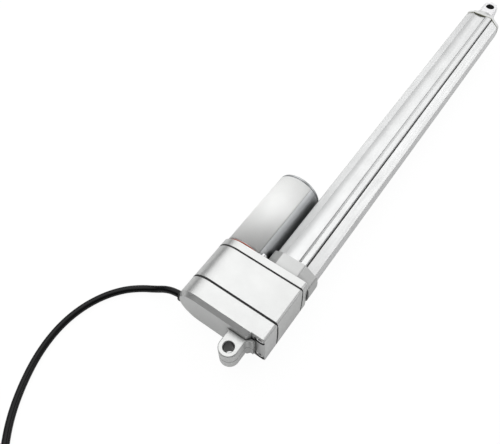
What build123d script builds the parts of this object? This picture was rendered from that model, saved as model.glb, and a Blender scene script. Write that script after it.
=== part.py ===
from build123d import *
import os
from math import acos, cos, pi, radians, sin, tan

# Electric linear actuator: a motor lies beside a lead screw that runs in an extruded tube, and a
# geared, three-layer die-cast box joins the two. Millimetres. The origin is the centre of the rear
# eye, +X runs along the stroke to the front eye, +Y from the screw to the motor, +Z up.

# Stroke and thread
STROKE = 300.0
SCREW_LEAD = 5.0
SCREW_DIAMETER = 12.0

# Mounting eyes
EYE_BORE = 8.0
EYE_WIDTH = 15.0
REAR_EYE_HEIGHT = 20.0
FRONT_EYE_HEIGHT = 15.0
EYE_CHAMFER = 0.5
ROOT_FILLET = 2.5
LUG_EDGE_RADIUS = 0.9
PARTING_WIDTH = 0.5
PARTING_DEPTH = 0.3

# Gear train: the motor pinion drives a wheel, and the pinion beside it drives the screw's gear
FAST_MODULE = 0.7
SLOW_MODULE = 0.8
MOTOR_PINION_TEETH = 12
IDLER_WHEEL_TEETH = 32
IDLER_PINION_TEETH = 13
SCREW_GEAR_TEETH = 36
PRESSURE_ANGLE = 20.0
ADDENDUM = 0.78
DEDENDUM = 1.08
BACKLASH = 0.12
FAST_FACE = 6.0
SLOW_FACE = 9.0
WHEEL_GAP = 2.0
PINION_OVERHANG = 1.5

# Gearbox layers, along X from the rear
EYE_TO_PLATFORM = 10.7
PLATFORM_RISE = 3.6
PLATFORM_SLOPE = 2.2
PLATFORM_TUBE_SIDE = -9.0
COVER_DEPTH = 14.4
GASKET_THICKNESS = 1.0
GASKET_INSET = 0.2
HOUSING_DEPTH = 30.5
PLATE_DEPTH = 6.0
SOCKET_DEPTH = 12.0
SOCKET_WALL = 2.3

# Gearbox outline, seen along X
BODY_HEIGHT = 37.5
BODY_CORNER_Y = -20.1
BODY_SIDE_Y = -20.6
BODY_CORNER_RADIUS = 2.2
BACK_EDGE_RADIUS = 0.7
MOTOR_TO_END_CENTRE = 1.85
COVER_WALL = 3.0
COVER_BACK_WALL = 3.0
HOUSING_WALL = 2.5
POCKET_INSET = 5.0

# Fasteners of the box
CASE_SCREW_Y = -15.5
CASE_SCREW_FROM_TOP = 5.25
CASE_SCREW = 4.0
CASE_HEAD = 7.0
CASE_HEAD_HEIGHT = 3.6
COUNTERBORE = 8.0
COUNTERBORE_DEPTH = 4.2
COLUMN_DIAMETER = 7.4
SIDE_SCREW_FROM_MOTOR = 16.0
SIDE_SCREW_FROM_TOP = 3.55
SIDE_SCREW = 3.0
SIDE_HEAD = 5.0
SIDE_HEAD_HEIGHT = 2.4
SIDE_COLUMN_DIAMETER = 5.6
CASE_KEY = 3.0
SIDE_KEY = 1.5
SCREW_TIP_GAP = 1.0

# Motor
MOTOR_DIAMETER = 37.5
MOTOR_LENGTH = 76.3
MOTOR_CAN_WALL = 1.6
MOTOR_FRONT_WALL = 2.0
MOTOR_CAP_DEPTH = 2.2
MOTOR_CAP_SPIGOT = 3.0
MOTOR_JOINT_CHAMFER = 0.3
SEAL_THICKNESS = 1.2
SEAL_WIDTH = 1.8
MOTOR_PILOT = 16.0
MOTOR_SHAFT = 5.0
MOTOR_BUSH = 10.0
MOTOR_BUSH_LENGTH = 6.0
MOTOR_SCREW = 3.0
MOTOR_HEAD = 5.5
MOTOR_HEAD_HEIGHT = 2.2
MOTOR_KEY = 2.0
MOTOR_SCREW_CIRCLE = 25.0
MAGNET_THICKNESS = 3.43
ARMATURE_LENGTH = 34.0
ARMATURE_SLOTS = 5
ARMATURE_SLOT_WIDTH = 2.4
ARMATURE_SLOT_DEPTH = 6.5
MAGNET_GAP = 0.7
MAGNET_ARC = 130.0
COMMUTATOR_DIAMETER = 11.0
COMMUTATOR_LENGTH = 8.0
BRUSH_LENGTH = 6.0
BRUSH_WIDTH = 4.0
BRUSH_PLATE = 2.0
BRUSH_PLATE_BORE = 6.0
END_COIL = 5.0

# Screw, bearings and gear fixing
JOURNAL_DIAMETER = 8.0
GEAR_SEAT_DIAMETER = 10.0
SCREW_BUSH_DIAMETER = 13.0
SCREW_BUSH_LENGTH = 9.0
SCREW_BOSS_DIAMETER = 18.0
BEARING_DIAMETER = 28.0
BEARING_WIDTH = 8.0
BEARING_RACE = 2.5
BEARING_BALLS = 8
BEARING_BALL = 3.8
BEARING_BOSS_WALL = 1.6
BEARING_LIP = 1.5
COLLAR_DIAMETER = 17.0
COLLAR_LENGTH = 4.0
KEY_SIZE = 3.0
CLIP_THICKNESS = 1.0
CLIP_WIDTH = 2.0
CLIP_OPENING = 4.6
IDLER_AXLE = 5.0
IDLER_BOSS_DIAMETER = 11.0
IDLER_AXLE_SEAT = 4.0
SPACER_DIAMETER = 8.0

# Nut, rod and front end
NUT_REST_GAP = 3.0
NUT_LENGTH = 22.0
NUT_SOCKET_DEPTH = 14.0
NUT_END_GAP = 3.4
ROD_DIAMETER = 18.0
ROD_WALL = 2.0
ROD_TO_WIPER = 0.6
EYE_PLUG_LENGTH = 20.0
EYE_SHOULDER = 2.4
EYE_REACH = 18.6
ROD_PIN_DIAMETER = 4.0
ROD_PIN_FROM_END = 8.0
GUIDE_RING_LENGTH = 4.0
GUIDE_RING_BORE = 8.0
GUIDE_BUSH_LENGTH = 22.0
CAP_GASKET = 0.8
CAP_DEPTH = 4.0
CAP_BOSS_DIAMETER = 26.0
CAP_BOSS_LENGTH = 5.6
CAP_EDGE = 0.8
WIPER_DIAMETER = 22.0
WIPER_DEPTH = 3.6
WIPER_STAND = 0.8
CAP_SCREW = 2.5
CAP_SCREW_LENGTH = 12.0
CAP_HEAD = 4.5
CAP_HEAD_HEIGHT = 2.5
CAP_KEY = 2.0

# Extruded tube, seen along X: the side away from the motor is thicker and holds the switch pocket
TUBE_BORE = 24.0
TUBE_HALF_HEIGHT = 15.0
TUBE_MOTOR_SIDE = 13.8
TUBE_MOTOR_CORNER_Z = 11.4
TUBE_FAR_SIDE = -20.0
TUBE_FAR_CORNER_Y = -19.0
TUBE_FAR_CORNER_Z = 7.6
TUBE_FAR_SHOULDER_Y = -11.2
TUBE_FAR_SHOULDER_Z = 13.6
RIB_FAR_Y = -10.0
CHANNEL_FAR_Y = -4.7
CHANNEL_MOTOR_Y = 7.4
CHANNEL_STEP = 0.5
CHANNEL_DEPTH = 1.3
GROOVE_WIDTH = 1.0
GROOVE_DEPTH = 2.4
TUBE_EDGE_RADIUS = 1.0
PORT_DIAMETER = 2.6
PORT_FAR = (-14.6, 8.0)
PORT_NEAR = (10.9, 9.3)
POCKET_FAR_Y = -16.8
POCKET_HALF_HEIGHT = 5.0
SWITCH_BOARD_THICKNESS = 1.3
SWITCH_SIZE = (12.0, 2.6, 4.4)
SWITCH_BELOW_MIDDLE = 0.2
BOARD_END_GAP = 3.0

# Cable: leaves the round end, runs over the table and ends in a coil with bare leads
CABLE_DIAMETER = 5.5
CABLE_FROM_PLATFORM = 4.8
CABLE_BELOW_MIDDLE = 12.5
GROMMET_FLANGE = 8.8
GROMMET_NECK = 7.0
GROMMET_THICKNESS = 1.8
GROMMET_SEAT = 0.6
CABLE_STRAIGHT = 6.6
CABLE_ROUTE = [
    (14.0, 71.1, -8.7),
    (10.8, 79.8, -13.8),
    (5.6, 90.4, -16.0),
    (-3.5, 100.9, -16.0),
    (-17.1, 110.3, -16.0),
    (-34.9, 117.0, -16.0),
    (-54.8, 119.2, -16.0),
    (-76.6, 116.3, -16.0),
    (-97.4, 109.1, -16.0),
    (-117.1, 99.2, -16.0),
    (-133.9, 86.6, -16.0),
    (-147.0, 73.0, -16.0),
    (-156.8, 59.0, -16.0),
]
COIL_ACROSS = 66.0
COIL_TURNS = 3.33
COIL_ENTRY = 14.0
COIL_EDGE_RADIUS = 2.4
TAIL_ENTRY = 10.0
TAIL_LENGTH = 22.0
LEAD_DIAMETER = 2.0
LEAD_LENGTH = 22.0
LEAD_SPREAD = 1.3
LEAD_ABOVE_FLOOR = 0.6
FERRULE_SLEEVE = 3.0
FERRULE_SLEEVE_LENGTH = 5.0
FERRULE_PIN = 1.4
FERRULE_PIN_LENGTH = 7.0

# Clearances
RUNNING = 0.05
SEAT = 0.02
GEAR_SIDE = 0.3
SHAFT_HOLE = 0.3
MOTOR_TO_SOCKET = 0.4

# Stations along X
x_platform = EYE_TO_PLATFORM
x_cover = x_platform + PLATFORM_RISE
x_cover_front = x_cover + COVER_DEPTH
x_housing = x_cover_front + GASKET_THICKNESS
x_housing_front = x_housing + HOUSING_DEPTH
x_plate = x_housing_front + GASKET_THICKNESS
x_face = x_plate + PLATE_DEPTH
x_socket = x_face + SOCKET_DEPTH
x_nut = x_face + COLLAR_LENGTH + NUT_REST_GAP
x_bush = x_nut + NUT_LENGTH + STROKE + NUT_END_GAP
x_tube_front = x_bush + GUIDE_BUSH_LENGTH
x_cap = x_tube_front + CAP_GASKET
x_boss = x_cap + CAP_DEPTH
x_boss_front = x_boss + CAP_BOSS_LENGTH
x_rod_end = x_boss_front + WIPER_STAND + ROD_TO_WIPER
x_front_eye = x_boss_front + EYE_REACH
x_bearing = x_face - BEARING_WIDTH
x_thread_end = x_nut + NUT_LENGTH + STROKE + SCREW_TIP_GAP
x_wheel_front = x_bearing - BEARING_LIP - WHEEL_GAP - PINION_OVERHANG
x_wheel = x_wheel_front - FAST_FACE
x_slow_front = x_wheel - WHEEL_GAP
x_slow = x_slow_front - SLOW_FACE
x_can = x_face + SEAL_THICKNESS
x_motor_end = x_face + MOTOR_LENGTH
x_motor_cap = x_motor_end - MOTOR_CAP_DEPTH
x_brush_plate = x_motor_cap - MOTOR_CAP_SPIGOT - BRUSH_PLATE
x_commutator = x_brush_plate - COMMUTATOR_LENGTH - GEAR_SIDE
x_armature = x_commutator - END_COIL - ARMATURE_LENGTH

# Distances between the axes follow from the teeth
fast_centres = FAST_MODULE * (MOTOR_PINION_TEETH + IDLER_WHEEL_TEETH) / 2
slow_centres = SLOW_MODULE * (IDLER_PINION_TEETH + SCREW_GEAR_TEETH) / 2
idler_y = slow_centres
motor_y = slow_centres + fast_centres
end_y = motor_y + MOTOR_TO_END_CENTRE
body_half = BODY_HEIGHT / 2
side_screw_y = motor_y - SIDE_SCREW_FROM_MOTOR
cable_x = x_platform + CABLE_FROM_PLATFORM
armature_diameter = MOTOR_DIAMETER - 2 * (MOTOR_CAN_WALL + SEAT + MAGNET_THICKNESS + MAGNET_GAP)
outer_turn = (COIL_ACROSS + CABLE_DIAMETER) / 2


def layer(sketch, x_start, x_end):
    """A sketch drawn in Y and Z, extruded from one station to another."""
    return extrude(Plane.YZ.offset(x_start) * sketch, amount=x_end - x_start)


def rod(x_start, x_end, diameter, y=0.0, z=0.0):
    """A round bar along X."""
    return Pos(x_start, y, z) * Rot(0, 90, 0) * Cylinder(
        diameter / 2, x_end - x_start, align=(Align.CENTER, Align.CENTER, Align.MIN)
    )


def sleeve(x_start, x_end, outside, inside, y=0.0, z=0.0):
    """A round ring along X."""
    return rod(x_start, x_end, outside, y, z) - rod(x_start, x_end, inside, y, z)


def block(x_span, y_span, z_span):
    """A box from one corner to the other."""
    return Pos(x_span[0], y_span[0], z_span[0]) * Box(
        x_span[1] - x_span[0], y_span[1] - y_span[0], z_span[1] - z_span[0], align=Align.MIN
    )


def body_outline(inset=0.0):
    """The box's outline: flat top and bottom, a round motor end and a bowed side past the screw."""
    corners = [(BODY_CORNER_Y, body_half), (BODY_CORNER_Y, -body_half)]
    top = Line((end_y, body_half), corners[0])
    side = ThreePointArc(corners[0], (BODY_SIDE_Y, 0), corners[1])
    bottom = Line(corners[1], (end_y, -body_half))
    round_end = ThreePointArc((end_y, -body_half), (end_y + body_half, 0), (end_y, body_half))
    face = make_face([top, side, bottom, round_end])
    face = fillet(face.vertices().filter_by(lambda v: v.X < 0), BODY_CORNER_RADIUS)
    return offset(face, amount=-inset) if inset else face


def half_tube(sign, channelled):
    """Points and arcs of the tube's outline on one side of the centre plane."""
    top = TUBE_HALF_HEIGHT
    far_corner = (TUBE_FAR_CORNER_Y, sign * TUBE_FAR_CORNER_Z)
    far_shoulder = (TUBE_FAR_SHOULDER_Y, sign * TUBE_FAR_SHOULDER_Z)
    motor_corner = (TUBE_MOTOR_SIDE, sign * TUBE_MOTOR_CORNER_Z)
    if not channelled:
        return [
            Line(far_corner, (RIB_FAR_Y, sign * top)),
            Line((RIB_FAR_Y, sign * top), (CHANNEL_MOTOR_Y, sign * top)),
            Line((CHANNEL_MOTOR_Y, sign * top), motor_corner),
        ]
    channel_top = top - CHANNEL_STEP
    channel_middle = ((CHANNEL_FAR_Y + CHANNEL_MOTOR_Y) / 2, sign * (top - CHANNEL_DEPTH))
    return [
        Line(far_corner, far_shoulder),
        Line(far_shoulder, (RIB_FAR_Y, sign * top)),
        Line((RIB_FAR_Y, sign * top), (CHANNEL_FAR_Y, sign * top)),
        Line((CHANNEL_FAR_Y, sign * top), (CHANNEL_FAR_Y, sign * channel_top)),
        ThreePointArc(
            (CHANNEL_FAR_Y, sign * channel_top), channel_middle, (CHANNEL_MOTOR_Y, sign * channel_top)
        ),
        Line((CHANNEL_MOTOR_Y, sign * channel_top), motor_corner),
    ]


def tube_outline(channelled=False, grow=0.0):
    """The tube's outer shape, plain for the pieces that meet it or with its channels."""
    far_side = ThreePointArc(
        (TUBE_FAR_CORNER_Y, -TUBE_FAR_CORNER_Z), (TUBE_FAR_SIDE, 0), (TUBE_FAR_CORNER_Y, TUBE_FAR_CORNER_Z)
    )
    motor_side = Line((TUBE_MOTOR_SIDE, TUBE_MOTOR_CORNER_Z), (TUBE_MOTOR_SIDE, -TUBE_MOTOR_CORNER_Z))
    face = make_face([far_side, *half_tube(1, channelled), motor_side, *half_tube(-1, channelled)])
    reach = [v.X for v in face.vertices()]
    side_corners = [v for v in face.vertices() if v.X in (min(reach), max(reach))]
    face = fillet(side_corners, TUBE_EDGE_RADIUS)
    return offset(face, amount=grow) if grow else face


def case_screw_spots():
    z = body_half - CASE_SCREW_FROM_TOP
    return [(CASE_SCREW_Y, z), (CASE_SCREW_Y, -z)]


def side_screw_spots():
    z = body_half - SIDE_SCREW_FROM_TOP
    return [(side_screw_y, z), (side_screw_y, -z)]


def port_spots():
    return [(y, sign * z) for y, z in (PORT_FAR, PORT_NEAR) for sign in (1, -1)]


def add_columns(shape, x_start, x_end, inset=0.0):
    """Adds the four columns that the long screws pass through."""
    columns = [rod(x_start, x_end, COLUMN_DIAMETER, *spot) for spot in case_screw_spots()]
    columns += [rod(x_start, x_end, SIDE_COLUMN_DIAMETER, *spot) for spot in side_screw_spots()]
    return shape + [column & layer(body_outline(inset), x_start, x_end) for column in columns]


def drill_case_screws(shape, x_start, x_end):
    """Clearance holes for the four long screws."""
    for spot in case_screw_spots():
        shape -= rod(x_start, x_end, CASE_SCREW + 2 * SEAT, *spot)
    for spot in side_screw_spots():
        shape -= rod(x_start, x_end, SIDE_SCREW + 2 * SEAT, *spot)
    return shape


def rear_lug():
    """The eye's lug, flared into the cover where it stands on it."""
    reach = x_platform + PLATFORM_RISE / 2
    profile = Circle(EYE_WIDTH / 2)
    profile += Pos(reach / 2, 0) * Rectangle(reach, EYE_WIDTH)
    flare = Pos(reach, 0) * Rectangle(2 * (reach - x_platform), EYE_WIDTH + 4 * ROOT_FILLET)
    profile += flare
    inner = [
        v for v in profile.vertices()
        if abs(v.X - x_platform) < SEAT and abs(abs(v.Y) - EYE_WIDTH / 2) < SEAT
    ]
    profile = fillet(inner, ROOT_FILLET)
    lug = extrude(Plane.XY.offset(-REAR_EYE_HEIGHT / 2) * profile, amount=REAR_EYE_HEIGHT)
    edges = lug.edges().group_by(Axis.Z)
    lug = fillet(edges[0] + edges[-1], LUG_EDGE_RADIUS)
    parting = profile - offset(profile, amount=-PARTING_DEPTH)
    lug -= extrude(Plane.XY.offset(-PARTING_WIDTH / 2) * parting, amount=PARTING_WIDTH)
    lug -= Cylinder(EYE_BORE / 2, REAR_EYE_HEIGHT)
    rims = lug.edges().filter_by(GeomType.CIRCLE).filter_by(
        lambda e: abs(e.radius - EYE_BORE / 2) < SEAT
    )
    return chamfer(rims, EYE_CHAMFER)


def platform():
    """The raised middle of the cover's back, with sloped edges."""
    low = body_outline() & Pos(end_y, 0) * Rectangle(2 * (end_y - PLATFORM_TUBE_SIDE), BODY_HEIGHT)
    high = offset(low, amount=-PLATFORM_SLOPE)
    return loft([Plane.YZ.offset(x_cover) * low, Plane.YZ.offset(x_platform) * high])


def cable_exit():
    """Where the cable passes through the round end: a place whose +Z points out of the box."""
    return Pos(cable_x, end_y, 0) * Rot(-90 - CABLE_BELOW_MIDDLE, 0, 0) * Pos(0, 0, body_half)


def rear_cover():
    cover = layer(body_outline(), x_cover, x_cover_front) + platform()
    back = cover.edges().filter_by(
        lambda e: abs(e.center().X - x_cover) < SEAT and e.center().Y < PLATFORM_TUBE_SIDE - SEAT
    )
    cover = fillet(back, BACK_EDGE_RADIUS) + rear_lug()
    inside = layer(body_outline(COVER_WALL), x_cover + COVER_BACK_WALL, x_cover_front)
    deep = body_outline(POCKET_INSET) & Pos(end_y, 0) * Rectangle(
        2 * (end_y - PLATFORM_TUBE_SIDE - POCKET_INSET), BODY_HEIGHT
    )
    inside += layer(deep, x_cover, x_cover_front)
    bosses = rod(x_cover, x_cover_front, SCREW_BOSS_DIAMETER)
    bosses += rod(x_cover, x_cover_front, IDLER_BOSS_DIAMETER, idler_y)
    cover = cover - inside + bosses
    cover = add_columns(cover, x_cover + COVER_BACK_WALL, x_cover_front)
    x_bush_rear = x_cover_front - SCREW_BUSH_LENGTH
    cover -= rod(x_bush_rear, x_cover_front, SCREW_BUSH_DIAMETER + 2 * SEAT)
    cover -= rod(x_bush_rear - SCREW_TIP_GAP, x_cover_front, JOURNAL_DIAMETER + 2 * SHAFT_HOLE)
    cover -= rod(x_cover_front - IDLER_AXLE_SEAT, x_cover_front, IDLER_AXLE + 2 * SEAT, idler_y)
    for spot in case_screw_spots():
        cover -= rod(x_cover, x_cover_front, CASE_SCREW + 2 * SEAT, *spot)
        cover -= rod(x_cover, x_cover + COUNTERBORE_DEPTH, COUNTERBORE, *spot)
    for spot in side_screw_spots():
        cover -= rod(x_cover + COVER_BACK_WALL, x_cover_front, SIDE_SCREW + 2 * SEAT, *spot)
    cover -= cable_exit() * Cylinder(GROMMET_NECK / 2 + SEAT, 2 * POCKET_INSET)
    cover -= cable_exit() * Cylinder(GROMMET_FLANGE / 2 + SEAT, 2 * GROMMET_SEAT)
    return cover


def gasket(x_start):
    """Flat seal between two layers of the box, with an eye round each screw."""
    x_end = x_start + GASKET_THICKNESS
    ring = layer(body_outline(GASKET_INSET) - body_outline(COVER_WALL), x_start, x_end)
    return drill_case_screws(add_columns(ring, x_start, x_end, GASKET_INSET), x_start, x_end)


def gear_housing():
    shell = layer(body_outline() - body_outline(HOUSING_WALL), x_housing, x_housing_front)
    shell = add_columns(shell, x_housing, x_housing_front)
    return drill_case_screws(shell, x_housing, x_housing_front)


def front_plate():
    plate = layer(body_outline(), x_plate, x_face)
    boss_diameter = BEARING_DIAMETER + 2 * BEARING_BOSS_WALL
    plate += rod(x_bearing - BEARING_LIP, x_plate, boss_diameter)
    socket_wall = layer(tube_outline(grow=SOCKET_WALL), x_face, x_socket)
    socket_wall -= layer(tube_outline(grow=SEAT), x_face, x_socket)
    socket_wall -= rod(x_face, x_socket, MOTOR_DIAMETER + 2 * MOTOR_TO_SOCKET, motor_y)
    plate += socket_wall
    plate -= rod(x_bearing, x_face, BEARING_DIAMETER + 2 * SEAT)
    plate -= rod(x_bearing - BEARING_LIP, x_face, BEARING_DIAMETER - 2 * BEARING_RACE)
    plate -= rod(x_plate, x_face, MOTOR_PILOT + 2 * SEAT, motor_y)
    plate -= rod(x_plate, x_plate + IDLER_AXLE_SEAT, IDLER_AXLE + 2 * SEAT, idler_y)
    for spot in case_screw_spots():
        plate -= rod(x_plate, x_face - SCREW_TIP_GAP, CASE_SCREW + 2 * SEAT, *spot)
    for spot in side_screw_spots():
        plate -= rod(x_plate, x_face, SIDE_SCREW + 2 * SEAT, *spot)
    for sign in (1, -1):
        z = sign * MOTOR_SCREW_CIRCLE / 2
        plate -= rod(x_plate, x_face, MOTOR_SCREW + 2 * SEAT, motor_y, z)
        plate -= rod(x_plate, x_plate + MOTOR_HEAD_HEIGHT + SEAT, MOTOR_HEAD + 2 * SHAFT_HOLE, motor_y, z)
    return plate


def cap_screw(x_head, head_diameter, head_height, shank, x_tip, key, spot):
    """A socket head cap screw along X: the head starts at x_head and the shank ends at x_tip."""
    side = 1 if x_tip > x_head else -1
    x_under = x_head + side * head_height
    bar = rod(min(x_head, x_under), max(x_head, x_under), head_diameter)
    bar += rod(min(x_under, x_tip), max(x_under, x_tip), shank)
    recess = RegularPolygon(key / 2, 6, major_radius=False)
    depth = side * head_height / 2
    bar -= extrude(Plane.YZ.offset(x_head) * recess, amount=depth)
    return Pos(0, *spot) * bar


def case_screws():
    x_head = x_cover + COUNTERBORE_DEPTH - CASE_HEAD_HEIGHT
    x_tip = x_face - 2 * SCREW_TIP_GAP
    return [
        cap_screw(x_head, CASE_HEAD, CASE_HEAD_HEIGHT, CASE_SCREW, x_tip, CASE_KEY, spot)
        for spot in case_screw_spots()
    ]


def side_screws():
    x_head = x_face + SIDE_HEAD_HEIGHT
    x_tip = x_cover + COVER_BACK_WALL + SCREW_TIP_GAP
    return [
        cap_screw(x_head, SIDE_HEAD, SIDE_HEAD_HEIGHT, SIDE_SCREW, x_tip, SIDE_KEY, spot)
        for spot in side_screw_spots()
    ]


def involute_point(base_radius, radius):
    """How far an involute has turned where it reaches a radius."""
    pressure = acos(min(1.0, base_radius / radius))
    return tan(pressure) - pressure


def gear_sketch(module, teeth, turned):
    """An involute gear, centred on the origin, with a tooth pointing along the turned angle."""
    pitch_radius = module * teeth / 2
    base_radius = pitch_radius * cos(radians(PRESSURE_ANGLE))
    tip_radius = pitch_radius + ADDENDUM * module
    root_radius = pitch_radius - DEDENDUM * module
    half_tooth = (pi * module / 2 - BACKLASH) / 2 / pitch_radius
    at_pitch = involute_point(base_radius, pitch_radius)
    start_radius = max(base_radius, root_radius)
    flank = []
    for step in range(4):
        radius = start_radius + (tip_radius - start_radius) * step / 3
        flank.append((radius, half_tooth + at_pitch - involute_point(base_radius, radius)))
    if base_radius > root_radius:
        flank.insert(0, (root_radius, flank[0][1]))
    points = []
    for tooth in range(teeth):
        middle = turned + 2 * pi * tooth / teeth
        for radius, angle in flank:
            points.append((radius * cos(middle - angle), radius * sin(middle - angle)))
        for radius, angle in reversed(flank):
            points.append((radius * cos(middle + angle), radius * sin(middle + angle)))
    return make_face(Polyline(*points, close=True))


def gear(module, teeth, x_start, x_end, bore, y, turned):
    """A spur gear along X, bored through."""
    return layer(Pos(y, 0) * gear_sketch(module, teeth, turned), x_start, x_end) - rod(
        x_start, x_end, bore, y
    )


def motor_pinion():
    """A tooth of the pinion points at the screw."""
    return gear(
        FAST_MODULE, MOTOR_PINION_TEETH, x_wheel - PINION_OVERHANG, x_wheel_front + PINION_OVERHANG,
        MOTOR_SHAFT + 2 * SEAT, motor_y, pi,
    )


def idler_gear():
    """Wheel and pinion in one piece: a gap faces the motor, and a pinion tooth faces the screw."""
    wheel_turn = pi / IDLER_WHEEL_TEETH
    wheel = gear(
        FAST_MODULE, IDLER_WHEEL_TEETH, x_wheel, x_wheel_front, IDLER_AXLE + 2 * RUNNING, idler_y, wheel_turn
    )
    pinion = gear(
        SLOW_MODULE, IDLER_PINION_TEETH, x_slow - PINION_OVERHANG, x_wheel, IDLER_AXLE + 2 * RUNNING,
        idler_y, pi,
    )
    return wheel + pinion


def screw_gear():
    """A gap faces the idler's pinion. The bore has a keyway."""
    wheel = gear(
        SLOW_MODULE, SCREW_GEAR_TEETH, x_slow, x_slow_front, GEAR_SEAT_DIAMETER + 2 * SEAT, 0.0,
        pi / SCREW_GEAR_TEETH,
    )
    half_key = KEY_SIZE / 2 + SEAT
    top = GEAR_SEAT_DIAMETER / 2 + half_key
    return wheel - block((x_slow, x_slow_front), (-half_key, half_key), (0, top))


def gear_key():
    return block(
        (x_slow, x_slow_front), (-KEY_SIZE / 2, KEY_SIZE / 2),
        (GEAR_SEAT_DIAMETER / 2 - KEY_SIZE / 2, GEAR_SEAT_DIAMETER / 2 + KEY_SIZE / 2),
    )


def lead_screw():
    """Rear journal, gear seat, threaded length and the turned-down front end."""
    x_rear = x_cover_front - SCREW_BUSH_LENGTH
    bar = rod(x_rear, x_slow, JOURNAL_DIAMETER)
    bar += rod(x_slow, x_slow_front, GEAR_SEAT_DIAMETER)
    bar += rod(x_slow_front, x_thread_end, SCREW_DIAMETER)
    bar += rod(x_thread_end, x_thread_end + GUIDE_RING_LENGTH, GUIDE_RING_BORE)
    half_key = KEY_SIZE / 2 + SEAT
    seat = GEAR_SEAT_DIAMETER / 2
    return bar - block((x_slow, x_slow_front), (-half_key, half_key), (seat - half_key, seat + half_key))


def gear_clip():
    """Retaining clip behind the screw's gear, open on one side."""
    clip = sleeve(
        x_slow - CLIP_THICKNESS, x_slow, JOURNAL_DIAMETER + 2 * CLIP_WIDTH, JOURNAL_DIAMETER + 2 * SEAT
    )
    half_opening = CLIP_OPENING / 2
    return clip - block(
        (x_slow - CLIP_THICKNESS, x_slow), (-half_opening, half_opening), (-JOURNAL_DIAMETER, 0)
    )


def screw_bush():
    return sleeve(
        x_cover_front - SCREW_BUSH_LENGTH, x_cover_front, SCREW_BUSH_DIAMETER, JOURNAL_DIAMETER + 2 * RUNNING
    )


def bearing_outer_ring():
    ring = sleeve(x_bearing, x_face, BEARING_DIAMETER, BEARING_DIAMETER - 2 * BEARING_RACE)
    return ring - ball_track()


def bearing_inner_ring():
    ring = sleeve(x_bearing, x_face, SCREW_DIAMETER + 2 * (BEARING_RACE + SEAT), SCREW_DIAMETER + 2 * SEAT)
    return ring - ball_track()


def ball_circle():
    return (BEARING_DIAMETER + SCREW_DIAMETER) / 4


def ball_track():
    """The groove that the balls run in."""
    middle = (x_bearing + x_face) / 2
    return Pos(middle, 0, 0) * Rot(0, 90, 0) * Torus(ball_circle(), BEARING_BALL / 2 + RUNNING)


def bearing_balls():
    middle = (x_bearing + x_face) / 2
    return [
        Rot(360 * k / BEARING_BALLS, 0, 0) * Pos(middle, 0, ball_circle()) * Sphere(BEARING_BALL / 2)
        for k in range(BEARING_BALLS)
    ]


def screw_collar():
    """Shoulder ring that holds the bearing's inner ring."""
    return sleeve(x_face, x_face + COLLAR_LENGTH, COLLAR_DIAMETER, SCREW_DIAMETER + 2 * SEAT)


def screw_guide_ring():
    """Plain ring that steadies the screw's front end inside the rod."""
    return sleeve(
        x_thread_end, x_thread_end + GUIDE_RING_LENGTH,
        ROD_DIAMETER - 2 * ROD_WALL - 2 * RUNNING, GUIDE_RING_BORE + 2 * SEAT,
    )


def idler_axle():
    return rod(x_cover_front - IDLER_AXLE_SEAT, x_plate + IDLER_AXLE_SEAT, IDLER_AXLE, idler_y)


def idler_spacers():
    x_pinion = x_slow - PINION_OVERHANG
    bore = IDLER_AXLE + 2 * RUNNING
    return [
        sleeve(x_cover_front, x_pinion - GEAR_SIDE, SPACER_DIAMETER, bore, idler_y),
        sleeve(x_wheel_front + GEAR_SIDE, x_plate, SPACER_DIAMETER, bore, idler_y),
    ]


def motor_rims(shape, x):
    """The motor's outer edges at one station."""
    return shape.edges().filter_by(GeomType.CIRCLE).filter_by(
        lambda e: abs(e.center().X - x) < SEAT and abs(e.radius - MOTOR_DIAMETER / 2) < SEAT
    )


def motor_can():
    can = rod(x_can, x_motor_cap, MOTOR_DIAMETER, motor_y)
    can += rod(x_plate, x_can, MOTOR_PILOT, motor_y)
    can += rod(x_face, x_can, MOTOR_DIAMETER - 2 * SEAL_WIDTH - 2 * RUNNING, motor_y)
    inside = MOTOR_DIAMETER - 2 * MOTOR_CAN_WALL
    can -= rod(x_can + MOTOR_FRONT_WALL, x_motor_cap, inside, motor_y)
    can -= rod(x_plate, x_can + MOTOR_FRONT_WALL, MOTOR_BUSH + 2 * SEAT, motor_y)
    for sign in (1, -1):
        z = sign * MOTOR_SCREW_CIRCLE / 2
        can -= rod(x_face, x_can + MOTOR_FRONT_WALL, MOTOR_SCREW + 2 * SEAT, motor_y, z)
    return chamfer(motor_rims(can, x_motor_cap), MOTOR_JOINT_CHAMFER)


def motor_seal_ring():
    ring = sleeve(x_face, x_can, MOTOR_DIAMETER, MOTOR_DIAMETER - 2 * SEAL_WIDTH, motor_y)
    outer = ring.edges().filter_by(GeomType.CIRCLE).filter_by(
        lambda e: abs(e.radius - MOTOR_DIAMETER / 2) < SEAT
    )
    return fillet(outer, SEAL_THICKNESS / 3)


def motor_screws():
    return [
        cap_screw(
            x_plate, MOTOR_HEAD, MOTOR_HEAD_HEIGHT, MOTOR_SCREW, x_can + MOTOR_FRONT_WALL,
            MOTOR_KEY, (motor_y, sign * MOTOR_SCREW_CIRCLE / 2),
        )
        for sign in (1, -1)
    ]


def motor_end_cap():
    cap = rod(x_motor_cap, x_motor_end, MOTOR_DIAMETER, motor_y)
    inside = MOTOR_DIAMETER - 2 * MOTOR_CAN_WALL - 2 * SEAT
    x_spigot = x_motor_cap - MOTOR_CAP_SPIGOT
    cap += rod(x_spigot, x_motor_cap, inside, motor_y)
    cap -= rod(x_spigot, x_motor_end - MOTOR_CAP_DEPTH / 2, MOTOR_BUSH + 2 * SEAT, motor_y)
    cap = chamfer(motor_rims(cap, x_motor_cap), MOTOR_JOINT_CHAMFER)
    return fillet(motor_rims(cap, x_motor_end), MOTOR_CAP_DEPTH / 2)


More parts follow.
